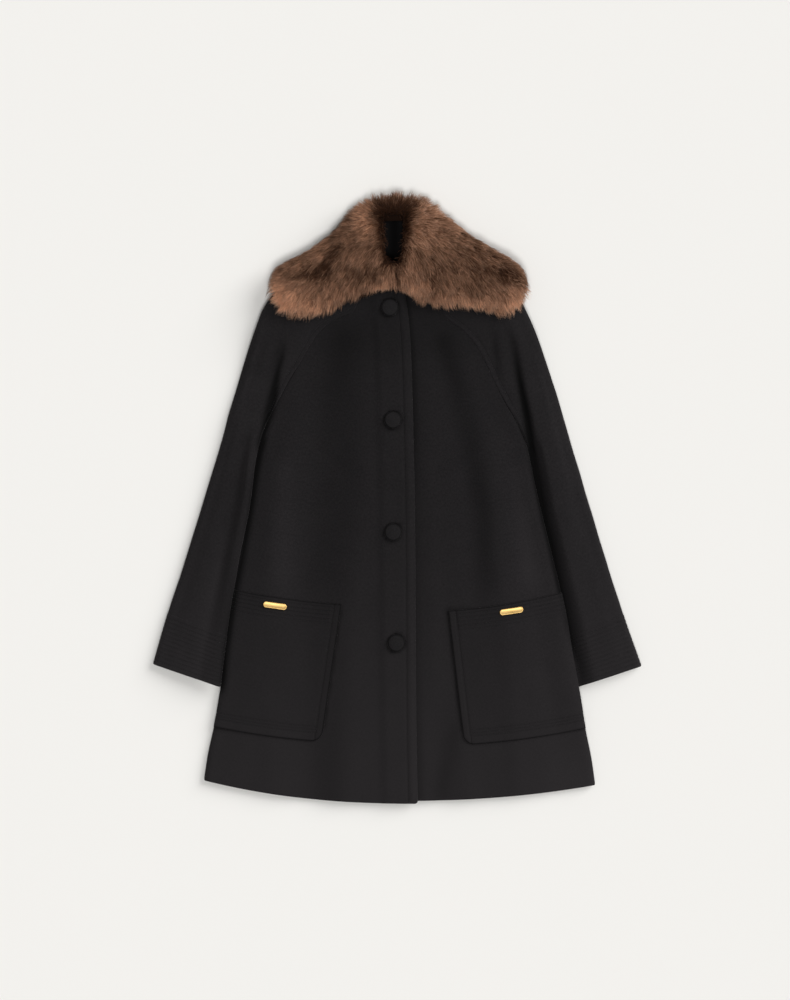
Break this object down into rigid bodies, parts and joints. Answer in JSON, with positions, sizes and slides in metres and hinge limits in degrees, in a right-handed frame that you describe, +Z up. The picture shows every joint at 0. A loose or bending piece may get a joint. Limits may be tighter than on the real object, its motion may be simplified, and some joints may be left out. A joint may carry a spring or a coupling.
{
  "type": "wool coat with fur collar",
  "caption": "A-line wool coat with raglan sleeves, fur collar, patch pockets and covered buttons, laid flat and buttoned.",
  "frame": {"origin": "middle of the coat in plan, on the surface that it lies on", "axes": "+Z up out of the front of the coat, +Y towards the collar, the wearer's right side at -X"},
  "size_m": [0.732, 0.913, 0.047],
  "materials": {
    "wool": "black felted wool with a short soft nap",
    "button_wool": "black wool stretched over a button",
    "fur": "brown fur, dark guard hair over a lighter base",
    "gilt": "smooth gilt metal"
  },
  "bodies": {
    "root": {"back": "wool", "front_right": "wool", "front_left": "wool", "sleeve_right_front": "wool", "sleeve_right_back": "wool", "sleeve_left_front": "wool", "sleeve_left_back": "wool", "pocket_right": "wool", "pocket_left": "wool", "button_1": "button_wool", "button_2": "button_wool", "button_3": "button_wool", "button_4": "button_wool", "bar_right": "gilt", "bar_left": "gilt", "collar": "fur"}
  },
  "joints": []
}
